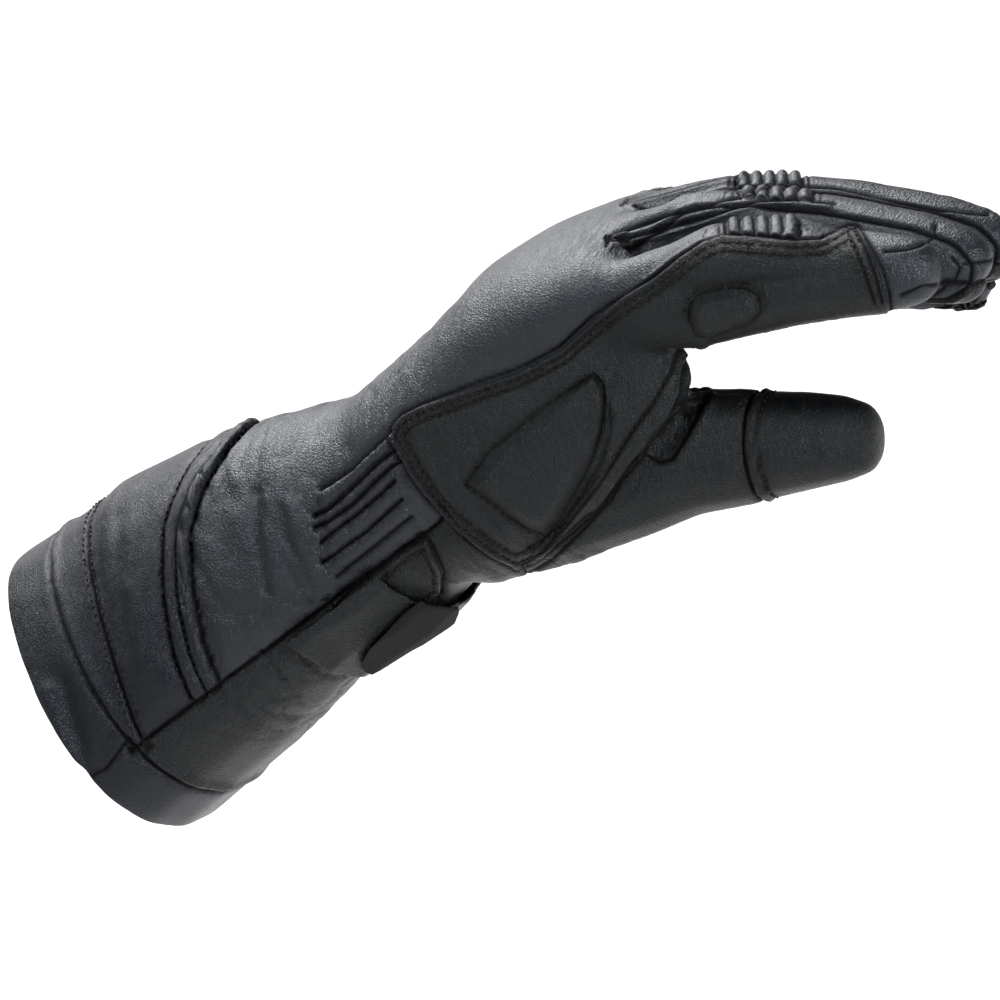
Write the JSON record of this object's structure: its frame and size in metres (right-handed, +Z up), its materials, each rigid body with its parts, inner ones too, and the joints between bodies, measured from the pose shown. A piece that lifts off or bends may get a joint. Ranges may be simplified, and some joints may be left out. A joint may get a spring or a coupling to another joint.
{
  "type": "motorcycle gauntlet",
  "caption": "Left-hand black leather riding glove with a long padded cuff, flex ribs, raised side pads and a hook-and-loop wrist strap, in its worn form.",
  "frame": {"origin": "middle of the wrist, inside the glove", "axes": "+X level towards the fingertips, +Y from the thumb side to the little finger's side, +Z up, out of the back of the fingers; the forearm rises 40 degrees along +X"},
  "size_m": [0.2878, 0.1011, 0.204],
  "materials": {
    "back_leather": "satin",
    "palm_leather": "satin",
    "trim_leather": "semi-gloss",
    "hook_and_loop": "matte"
  },
  "bodies": {
    "root": {"hem_band": "trim_leather", "thumb_tip": "palm_leather", "thumb_near_panel": "palm_leather", "thumb_far_panel": "palm_leather", "fourchette_index_middle": "back_leather", "fourchette_middle_ring": "back_leather", "fourchette_ring_little": "back_leather", "index_tip": "back_leather", "cuff_back_border": "trim_leather", "cuff_back_panel": "trim_leather", "back_panel": "back_leather", "cuff_palm_panel": "palm_leather", "palm_panel": "palm_leather", "index_back": "back_leather", "index_underside": "palm_leather", "middle_back": "back_leather", "middle_underside": "palm_leather", "ring_back": "back_leather", "ring_underside": "palm_leather", "little_back": "back_leather", "little_underside": "palm_leather", "cuff_piping_lower": "trim_leather", "cuff_piping_upper": "trim_leather", "side_overlay": "palm_leather", "shield_pad": "palm_leather", "oval_pad": "palm_leather", "thumb_gusset": "palm_leather", "index_ribs": "back_leather", "middle_ribs": "back_leather", "ring_ribs": "back_leather", "little_ribs": "back_leather", "wrist_rib_1": "back_leather", "wrist_rib_2": "back_leather", "wrist_rib_3": "back_leather", "wrist_rib_4": "back_leather", "wrist_rib_5": "back_leather", "strap_anchor": "palm_leather", "wrist_strap": "palm_leather", "hook_tab": "hook_and_loop"}
  },
  "joints": []
}
